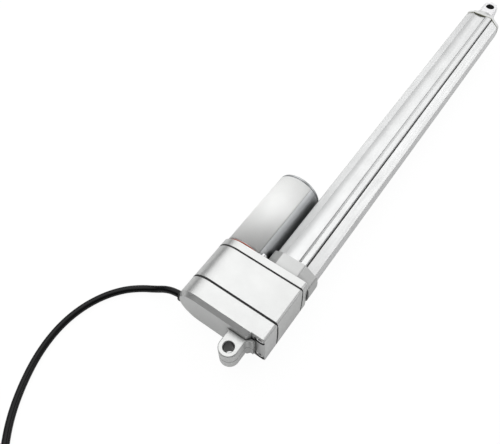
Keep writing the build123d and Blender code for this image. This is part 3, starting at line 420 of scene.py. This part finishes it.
def lip(mesh, middle, width):
    """A closed band round the box: two walls that stand on the casting and the face between them."""
    loops = []
    for x, grow in ((-1, -LIP_SUNK), (-1, LIP_PROUD), (1, LIP_PROUD), (1, -LIP_SUNK)):
        ring = [mesh.verts.new(Vector((middle + x * width / 2, y, z)) * MM) for y, z in box_outline(grow)]
        loops.append([mesh.edges.new(pair) for pair in zip(ring, ring[1:] + ring[:1])])
    for first, second in zip(loops, loops[1:]):
        bmesh.ops.bridge_loops(mesh, edges=first + second)


def piece(name, mesh, finish, body, smooth=False):
    """Turns a mesh into an object that has its finish and rides on a body."""
    bmesh.ops.recalc_face_normals(mesh, faces=mesh.faces)
    if smooth:
        for face in mesh.faces:
            face.smooth = True
    data = bpy.data.meshes.new(name)
    mesh.to_mesh(data)
    mesh.free()
    data.materials.append(finish)
    made = bpy.data.objects.new(name, data)
    scene.collection.objects.link(made)
    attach(made, body)
    return made


# Each lip has its middle along the stroke and its width.
for name, middle, width in (("rear_lip", 29.2, 1.6), ("front_lip", 60.7, 1.3)):
    lip_mesh = bmesh.new()
    lip(lip_mesh, middle, width)
    piece(name, lip_mesh, gasket_finish, "frame")

# The grommet is a moulded rubber bush, pressed into the rounded end where the cable comes out.
# It is black and dull.
grommet_finish = moulded("grommet_rubber", (0.03, 0.03, 0.03), 0.5, grain=0.3, depth=0.03)
dress(grommet_finish, "cable_grommet")

# An orange-red silicone ring seals the motor's flange against the front plate.
# It is moulded, and the flange squeezes it into a round bead that stands out a little.
ring_finish = moulded("seal_red", (0.42, 0.07, 0.02), 0.5, grain=0.3, depth=0.02)
dress(ring_finish, "motor_seal_ring")
MOTOR_Y = 35.0
SEAL_X = 67.9
SEAL_RADIUS = 18.35
SEAL_BEAD = 0.65

bead_mesh = bmesh.new()
bead_top = Matrix.Translation(Vector((SEAL_X, MOTOR_Y, SEAL_RADIUS)) * MM)
across_bead = bead_top @ Matrix.Rotation(pi / 2, 4, "X")
section = bmesh.ops.create_circle(
    bead_mesh, radius=SEAL_BEAD * MM, segments=12, matrix=across_bead
)["verts"]
bmesh.ops.spin(
    bead_mesh, geom=bead_mesh.edges[:] + section, cent=Vector((0, MOTOR_Y, 0)) * MM, axis=(1, 0, 0),
    angle=2 * pi, steps=96, use_merge=True,
)
piece("seal_bead", bead_mesh, ring_finish, "frame", smooth=True)

# The tube is an aluminium extrusion with long channels, clear anodised after drawing.
# Fine lines from the die run along its whole length.


def drawn_metal(
    name, colour, metallic, roughness, along, line, depth=0.01, change=0.04, gap=3.0, power=1.0, bore=None
):
    """Metal with fine lines that run along one way, and painted shade in its corners and narrow gaps."""
    material, tree, shader, place = node_material(name)
    dark, light = shades(colour, change)
    pulled = stretched(tree, place, along)
    lines = speckle(tree, pulled, line, 4.0)
    cloud = speckle(tree, place, 18.0, 2.0)
    tone = ramp(tree, cloud, [(0.3, dark), (0.7, light)])
    if bore:
        tone = dimmed(tree, tone, inside_bore(tree, place, *bore))
    # Painted shade: the colour darkens in corners and narrow gaps.
    tree.links.new(painted_crevice_shade(tree, tone, gap, power), shader.inputs["Base Color"])
    tree.links.new(spread(tree, lines, roughness - 0.06, roughness + 0.06), shader.inputs["Roughness"])
    relief(tree, lines, depth, shader, 0.3)
    shader.inputs["Metallic"].default_value = metallic
    return material


# The tube's painted shade is narrow and strong, so its channel corners and step show dark.
tube_finish = drawn_metal(
    "tube_anodised", (0.62, 0.625, 0.625), 0.9, 0.34, (0.01, 1, 1), line=0.5, gap=1.6, power=1.4
)
dress(tube_finish, "profile_tube")

# A shallow step in the profile runs along the tube beside its channel.
# Relief in the finish bends the light over the step's edge, which then shows as a soft dark line, deepened
# by painted shade at the step's foot.
CURVE_FROM = -6.2
CURVE_TO = -4.0
CURVE_DEPTH = 1.3
tree = tube_finish.node_tree
sides = tree.nodes.new("ShaderNodeSeparateXYZ")
tree.links.new(tree.nodes["Texture Coordinate"].outputs["Object"], sides.inputs["Vector"])
hollow = spread(tree, sides.outputs["Y"], 1.0, 0.0, CURVE_FROM * MM, CURVE_TO * MM)
relief(tree, hollow, CURVE_DEPTH, tree.nodes["Principled BSDF"], 1.0)

# The motor's can is drawn steel, zinc plated, with a rolled cap at its end.
# The plating is satin and faintly clouded, with fine lines round it from drawing.
can_finish = drawn_metal(
    "can_plated", (0.44, 0.45, 0.46), 0.95, 0.38, (1, 0.05, 0.05), line=0.4, depth=0.003, gap=4.0
)
dress(can_finish, "motor_can", "motor_end_cap")

# A blank silver polyester label wraps most of the way round the can.
# It is a thin sheet stuck to the metal, and it stops short of the side next to the tube.
LABEL_RADIUS = 18.84
LABEL_X = (69.0, 140.6)
LABEL_TURN = (-72.0, 128.0)
LABEL_THICKNESS = 0.08
LABEL_STEPS = 64

label_mesh = bmesh.new()
label_start = radians(LABEL_TURN[0])
start_y = MOTOR_Y + LABEL_RADIUS * cos(label_start)
start_z = LABEL_RADIUS * sin(label_start)
edge_ends = [label_mesh.verts.new((x * MM, start_y * MM, start_z * MM)) for x in LABEL_X]
label_edge = label_mesh.edges.new(edge_ends)
bmesh.ops.spin(
    label_mesh, geom=[*edge_ends, label_edge], cent=(0, MOTOR_Y * MM, 0), axis=(1, 0, 0),
    angle=radians(LABEL_TURN[1] - LABEL_TURN[0]), steps=LABEL_STEPS,
)
bmesh.ops.solidify(label_mesh, geom=label_mesh.faces[:], thickness=LABEL_THICKNESS * MM)

label_finish = drawn_metal(
    "label_silver", (0.95, 0.955, 0.945), 0.12, 0.66, (1, 0.2, 0.2), line=0.5, depth=0.003, change=0.02
)
piece("motor_label", label_mesh, label_finish, "frame", smooth=True)

# Screws, clip and pins are zinc-plated steel, bright and slightly scratched.
# The screws' heads are forged cold, and the two case screws sit in round wells of the rear cover.
screw_finish = drawn_metal("screw_zinc", (0.72, 0.72, 0.73), 1.0, 0.28, (1, 1, 1), line=0.6, change=0.1)
dress(screw_finish, "side_screws", "cap_screws", "motor_screws", "gear_clip", "rod_pin")
# The case screws' heads and crowns are painted near white and barely metallic: zinc plate with a painted
# sheen for the glint on them.
screw_sheen_finish = drawn_metal("screw_painted_sheen", (0.98, 0.98, 0.98), 0.1, 0.25, (1, 1, 1), line=0.6, change=0.05)
dress(screw_sheen_finish, "case_screws")

# Each case screw's head is slightly domed round its socket.
# The points of its profile give X from the head's face, and the radius.
HEAD_FACE = 14.9
CROWN_PROFILE = [
    (0.9, 1.6),
    (0.5, 1.7),
    (0.1, 1.86),
    (-0.2, 2.15),
    (-0.3, 2.5),
    (-0.15, 2.9),
    (0.2, 3.2),
    (0.7, 3.42),
]


def turned(mesh, profile, steps, start_x=0.0, axis_y=0.0, axis_z=0.0):
    """Turns a profile of points, each an X and a radius, round an axis that lies along the stroke."""
    rim = [mesh.verts.new(Vector((start_x + x, axis_y, axis_z + radius)) * MM) for x, radius in profile]
    rim_edges = [mesh.edges.new(pair) for pair in zip(rim, rim[1:])]
    bmesh.ops.spin(
        mesh, geom=rim + rim_edges, cent=Vector((0, axis_y, axis_z)) * MM, axis=(1, 0, 0),
        angle=2 * pi, steps=steps, use_merge=True,
    )


for name, well_z in (("upper_crown", WELL_Z), ("lower_crown", -WELL_Z)):
    crown_mesh = bmesh.new()
    turned(crown_mesh, CROWN_PROFILE, steps=40, start_x=HEAD_FACE, axis_y=WELL_Y, axis_z=well_z)
    piece(name, crown_mesh, screw_sheen_finish, "frame", smooth=True)

# The rod is ground stainless steel, and its eye is milled and blasted to a pale satin.
# The eye's hole goes right through it, and painted shade darkens its wall.
FRONT_EYE = (450.6, 0, 0)
rod_finish = drawn_metal("rod_ground", (0.70, 0.70, 0.69), 1.0, 0.24, (1, 0.05, 0.05), line=0.2)
dress(rod_finish, "inner_rod")
eye_finish = drawn_metal(
    "eye_satin", (0.80, 0.80, 0.81), 0.7, 0.42, (1, 1, 1), line=0.5, depth=0.004,
    bore=(FRONT_EYE, (1, 1, 0), EYE_RADIUS, 0.15),
)
dress(eye_finish, "rod_eye")

# The wiper is a grey lipped ring that keeps dirt off the rod.
# It is moulded in rubber and pressed into the front cap.
wiper_finish = moulded("wiper_grey", (0.50, 0.51, 0.51), 0.45)
dress(wiper_finish, "wiper_seal")

# The motor's pinion and shaft, the idler and its axle, and the screw's collar and key are machined steel.
# Their teeth are cut, their seats are turned, and all of them carry a film of grease.
gear_finish = drawn_metal("gear_steel", (0.42, 0.42, 0.43), 1.0, 0.3, (1, 1, 1), line=0.5, change=0.12)
dress(
    gear_finish, "motor_pinion", "idler_gear", "idler_axle", "motor_shaft", "lead_screw", "screw_collar",
    "gear_key",
)

# The lead screw is a steel bar with plain seats and a rolled trapezoidal thread of 5 mm lead.
# Its solid is plain at the thread's crests, so here the bar is thinner and a ridge winds round it.
THREAD_LEAD = 5.0
CREST_RADIUS = 6.0
ROOT_RADIUS = 3.6
THREAD_START = 74.0
THREAD_END = 397.2
THREAD_TURNS = int((THREAD_END - THREAD_START) / THREAD_LEAD)
STEPS_PER_TURN = 24
JOURNAL_START = 19.7
JOURNAL_END = 37.2
JOURNAL_RADIUS = 4.0
GEAR_SEAT_END = 46.2
GEAR_SEAT_RADIUS = 5.0
SHOULDER_END = 71.6
SHOULDER_SLOPE = 1.0
FRONT_PEG = 4.0
BAR = [
    (JOURNAL_START, 0.0),
    (JOURNAL_START, JOURNAL_RADIUS),
    (JOURNAL_END, JOURNAL_RADIUS),
    (JOURNAL_END, GEAR_SEAT_RADIUS),
    (GEAR_SEAT_END, GEAR_SEAT_RADIUS),
    (GEAR_SEAT_END, CREST_RADIUS),
    (SHOULDER_END, CREST_RADIUS),
    (SHOULDER_END + SHOULDER_SLOPE, ROOT_RADIUS),
    (THREAD_END, ROOT_RADIUS),
    (THREAD_END, JOURNAL_RADIUS),
    (THREAD_END + FRONT_PEG, JOURNAL_RADIUS),
    (THREAD_END + FRONT_PEG, 0.0),
]
RIDGE_FOOT = 1.6
RIDGE_CREST = 0.9
RIDGE_SUNK = 0.1
RIDGE = [
    (-RIDGE_FOOT, ROOT_RADIUS - RIDGE_SUNK),
    (-RIDGE_CREST, CREST_RADIUS),
    (RIDGE_CREST, CREST_RADIUS),
    (RIDGE_FOOT, ROOT_RADIUS - RIDGE_SUNK),
]

screw_mesh = bmesh.new()
turned(screw_mesh, BAR, steps=48)
bmesh.ops.remove_doubles(screw_mesh, verts=screw_mesh.verts[:], dist=0.00001)
ridge = [screw_mesh.verts.new(Vector((THREAD_START + x, 0, radius)) * MM) for x, radius in RIDGE]
ridge_edges = [screw_mesh.edges.new(pair) for pair in zip(ridge, ridge[1:] + ridge[:1])]
wound = bmesh.ops.spin(
    screw_mesh, geom=ridge + ridge_edges, cent=(0, 0, 0), axis=(1, 0, 0),
    dvec=(THREAD_LEAD * MM / STEPS_PER_TURN, 0, 0), angle=2 * pi * THREAD_TURNS,
    steps=THREAD_TURNS * STEPS_PER_TURN,
)
ridge_end = [last for last in wound["geom_last"] if isinstance(last, bmesh.types.BMVert)]
for end in (ridge, ridge_end):
    bmesh.ops.contextual_create(screw_mesh, geom=end)
threaded = piece("threaded_screw", screw_mesh, gear_finish, "screw")
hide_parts("lead_screw")

# The screw's gear, the nut, the guide rings and the spacers are moulded acetal.
# It is off-white and slightly waxy.
acetal = moulded("acetal_natural", (0.80, 0.78, 0.72), 0.4)
dress(acetal, "screw_gear", "drive_nut", "screw_guide_ring", "guide_bush", "idler_spacers")

# Sintered bronze bushes carry the screw's rear end and the motor's shaft.
# They are pressed from powder and soaked in oil, which leaves them dull and open-grained.
bronze = drawn_metal("sintered_bronze", (0.50, 0.33, 0.16), 1.0, 0.5, (1, 1, 1), line=0.2, depth=0.03)
dress(bronze, "screw_bush", "motor_bushes")

# The ball bearing is polished steel.
# Its rings are hardened and ground, and one row of balls runs between them.
bearing_finish = drawn_metal("bearing_polish", (0.74, 0.74, 0.75), 1.0, 0.16, (1, 0.05, 0.05), line=0.3)
dress(bearing_finish, "bearing_outer_ring", "bearing_inner_ring", "bearing_balls")

# Inside the motor are a core of stacked steel sheets, copper segments, ferrite magnets and carbon brushes.
# The core's surface is lined by its sheets, the copper is turned, and the other two are pressed and dull.
core_metal = drawn_metal(
    "core_laminated", (0.25, 0.24, 0.23), 0.8, 0.45, (1, 0.05, 0.05), line=0.5, depth=0.05
)
dress(core_metal, "armature")
copper = drawn_metal("commutator_copper", (0.72, 0.36, 0.20), 1.0, 0.3, (0.05, 1, 1), line=0.3)
dress(copper, "commutator")
ferrite = moulded("magnet_ferrite", (0.05, 0.05, 0.055), 0.6, grain=0.3, depth=0.05)
dress(ferrite, "motor_magnets")
carbon = moulded("brush_carbon", (0.02, 0.02, 0.02), 0.5, grain=0.2, depth=0.03)
dress(carbon, "motor_brushes")

# The switch board and the brush plate are glass-fibre boards under a green mask.
# The switches on the board are moulded in black plastic.
board_finish = moulded("board_green", (0.03, 0.16, 0.07), 0.4)
dress(board_finish, "switch_board", "brush_plate")
switch_finish = moulded("switch_black", (0.02, 0.02, 0.02), 0.45)
dress(switch_finish, "limit_switches")

# The part lies on a plain white light table, which glows by itself as well.
# The glow is mostly for the camera, so that the table looks white and still takes the part's shade.
TABLE_HALF = 6.0
TABLE_MIDDLE = 0.2
TABLE_GAP = 0.0002
table_mesh = bmesh.new()
bmesh.ops.create_grid(table_mesh, x_segments=1, y_segments=1, size=TABLE_HALF)
table_shift = (TABLE_MIDDLE, 0, -HALF_HEIGHT * MM - TABLE_GAP)
bmesh.ops.translate(table_mesh, verts=table_mesh.verts, vec=table_shift)
table_data = bpy.data.meshes.new("table")
table_mesh.to_mesh(table_data)
table_mesh.free()
table = bpy.data.objects.new("table", table_data)
scene.collection.objects.link(table)
table_finish, tree, shader, place = node_material("table_white")
shader.inputs["Base Color"].default_value = (0.80, 0.80, 0.80, 1)
shader.inputs["Roughness"].default_value = 0.9
shader.inputs["Specular IOR Level"].default_value = 0.1
path = tree.nodes.new("ShaderNodeLightPath")
glow = tree.nodes.new("ShaderNodeEmission")
glow.inputs["Color"].default_value = (1, 1, 1, 1)
glow.inputs["Strength"].default_value = 1.04
blend = tree.nodes.new("ShaderNodeMixShader")
seen = spread(tree, path.outputs["Is Camera Ray"], 0.35, 0.92, 0.0, 1.0)
tree.links.new(seen, blend.inputs["Fac"])
tree.links.new(shader.outputs["BSDF"], blend.inputs[1])
tree.links.new(glow.outputs["Emission"], blend.inputs[2])
tree.links.new(blend.outputs["Shader"], tree.nodes["Material Output"].inputs["Surface"])
table_data.materials.append(table_finish)

# Round it hangs a pale studio tent, brightest overhead and towards the far end of the stroke.
# The camera itself sees it plain white.
world = bpy.data.worlds.new("studio")
world.use_nodes = True
scene.world = world
air = world.node_tree
air.nodes["Background"].inputs["Color"].default_value = (1, 1, 1, 1)
direction = air.nodes.new("ShaderNodeTexCoord").outputs["Generated"]
lean = air.nodes.new("ShaderNodeVectorMath")
lean.operation = "DOT_PRODUCT"
lean.inputs[1].default_value = (0.5, 0.0, 0.87)
air.links.new(direction, lean.inputs[0])
tent = spread(air, lean.outputs["Value"], 0.10, 0.55, 0.35, 0.8)
air_path = air.nodes.new("ShaderNodeLightPath")
level = calculate(air, "MAXIMUM", tent, air_path.outputs["Is Camera Ray"])
air.links.new(level, air.nodes["Background"].inputs["Strength"])


def soft_box(name, place, target, width, height, power):
    """A rectangular studio lamp that points at a target."""
    data = bpy.data.lights.new(name, "AREA")
    data.shape = "RECTANGLE"
    data.size = width
    data.size_y = height
    data.energy = power
    lamp = bpy.data.objects.new(name, data)
    lamp.location = place
    lamp.rotation_euler = (Vector(target) - Vector(place)).to_track_quat("-Z", "Y").to_euler()
    scene.collection.objects.link(lamp)


# A wide box hangs high on the motor's side, and a small one is aimed at the gearbox from above.
# Two more stand beyond the far end, one on each side.
soft_box("lamp_over", (0.9, 0.95, 1.0), (0.9, 0.95, 0), 3.2, 2.0, 21.0)
soft_box("lamp_near", (0.3, 0.3, 1.1), (0.1, 0.05, 0), 0.6, 0.6, 0.4)
soft_box("lamp_right", (1.5, -1.1, 0.7), (1.5, 0, 0), 1.9, 0.8, 7.5)
soft_box("lamp_left", (1.6, 1.25, 0.42), (1.6, 0, 0), 1.5, 0.55, 2.7)
